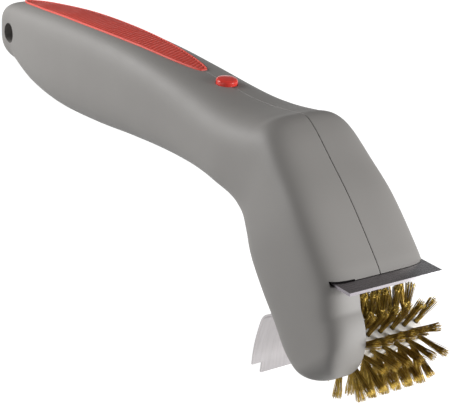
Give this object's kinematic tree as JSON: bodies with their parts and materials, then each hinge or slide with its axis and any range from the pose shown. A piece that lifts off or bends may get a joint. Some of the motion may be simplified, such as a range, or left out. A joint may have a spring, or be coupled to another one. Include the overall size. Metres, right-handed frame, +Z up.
{
  "type": "grill cleaning brush",
  "caption": "Battery-powered grill cleaning brush: bent grey housing, red grip and button, spinning brass wire brush, scraper blades before and behind it.",
  "frame": {"origin": "on the table, under the middle of the tool, in its middle plane", "axes": "+X from the tail towards the head, +Y across to the side away from the gear cheek, +Z up with the tool resting on its rear blade and tail"},
  "size_m": [0.374, 0.0661, 0.1202],
  "materials": {
    "black_lead": "insulation",
    "black_plastic": "matte",
    "body_plastic": "fine matte moulded texture",
    "brass_wire": "bright drawn wire",
    "bush_bronze": "sintered",
    "button_plastic": "gloss",
    "cell_wrap": "printed wrap without lettering",
    "contact_plating": "nickel plated",
    "core_plastic": "satin, slightly translucent",
    "fastener_steel": "zinc plated",
    "front_blade_steel": "brushed",
    "gear_nylon": "natural nylon",
    "grip_rubber": "soft matte with raised ribs",
    "liner_plastic": "matte",
    "motor_steel": "zinc plated",
    "orange_lead": "insulation",
    "pinion_brass": "machined",
    "rear_blade_steel": "brushed",
    "red_lead": "insulation"
  },
  "bodies": {
    "root": {"right_shell": "body_plastic", "left_shell": "body_plastic", "hood_liner": "liner_plastic", "grip_insert": "grip_rubber", "gear_case_cover": "liner_plastic", "gear_case_screws": "fastener_steel", "shell_screws": "fastener_steel", "front_scraper": "front_blade_steel", "rear_scraper": "rear_blade_steel", "scraper_rivets": "fastener_steel", "motor": "motor_steel", "motor_screws": "fastener_steel", "idler_pins": "fastener_steel", "outer_bush": "bush_bronze", "inner_bush": "bush_bronze", "button_spring": "fastener_steel", "push_switch": "black_plastic", "battery_tray": "black_plastic", "battery_cells": "cell_wrap", "battery_contacts": "contact_plating", "contact_springs": "contact_plating", "switch_lead": "red_lead", "motor_lead": "orange_lead", "return_lead": "black_lead"},
    "brush": {"brush_shaft": "fastener_steel", "output_gear": "gear_nylon", "brush_core": "core_plastic", "bristle_tufts": "brass_wire", "core_washer": "fastener_steel", "core_screw": "fastener_steel"},
    "first_idler": {"first_idler_gear": "gear_nylon"},
    "second_idler": {"second_idler_gear": "gear_nylon"},
    "rotor": {"motor_shaft": "fastener_steel", "motor_pinion": "pinion_brass"},
    "button": {"power_button": "button_plastic"},
    "door": {"battery_door": "body_plastic"}
  },
  "joints": [
    {"name": "brush_spin", "type": "hinge", "parent": "root", "child": "brush", "pos_m": [0.1612, 0, 0.04493], "axis": [0, 1, 0], "continuous": true},
    {"name": "second_idler_spin", "type": "hinge", "parent": "root", "child": "second_idler", "pos_m": [0.14142, 0, 0.05853], "axis": [0, 1, 0], "continuous": true},
    {"name": "first_idler_spin", "type": "hinge", "parent": "root", "child": "first_idler", "pos_m": [0.12295, 0, 0.07122], "axis": [0, 1, 0], "continuous": true},
    {"name": "rotor_spin", "type": "hinge", "parent": "root", "child": "rotor", "pos_m": [0.10515, 0, 0.08345], "axis": [0, 1, 0], "continuous": true},
    {"name": "button_press", "type": "slide", "parent": "root", "child": "button", "axis": [0.2334, 0, -0.9724], "range_m": [0, 0.002], "stiffness_N_per_m": 600, "deforming": ["button_spring"]},
    {"name": "door_swing", "type": "hinge", "parent": "root", "child": "door", "pos_m": [-0.125, 0.0156, 0.01301], "axis": [-0.9453, -0.0233, -0.3255], "range_deg": [0, 90]}
  ],
  "couplings": [
    {"joint": "second_idler_spin", "follows": "brush_spin", "ratio": -0.42857},
    {"joint": "first_idler_spin", "follows": "brush_spin", "ratio": 1.2857},
    {"joint": "rotor_spin", "follows": "brush_spin", "ratio": -4.5}
  ]
}
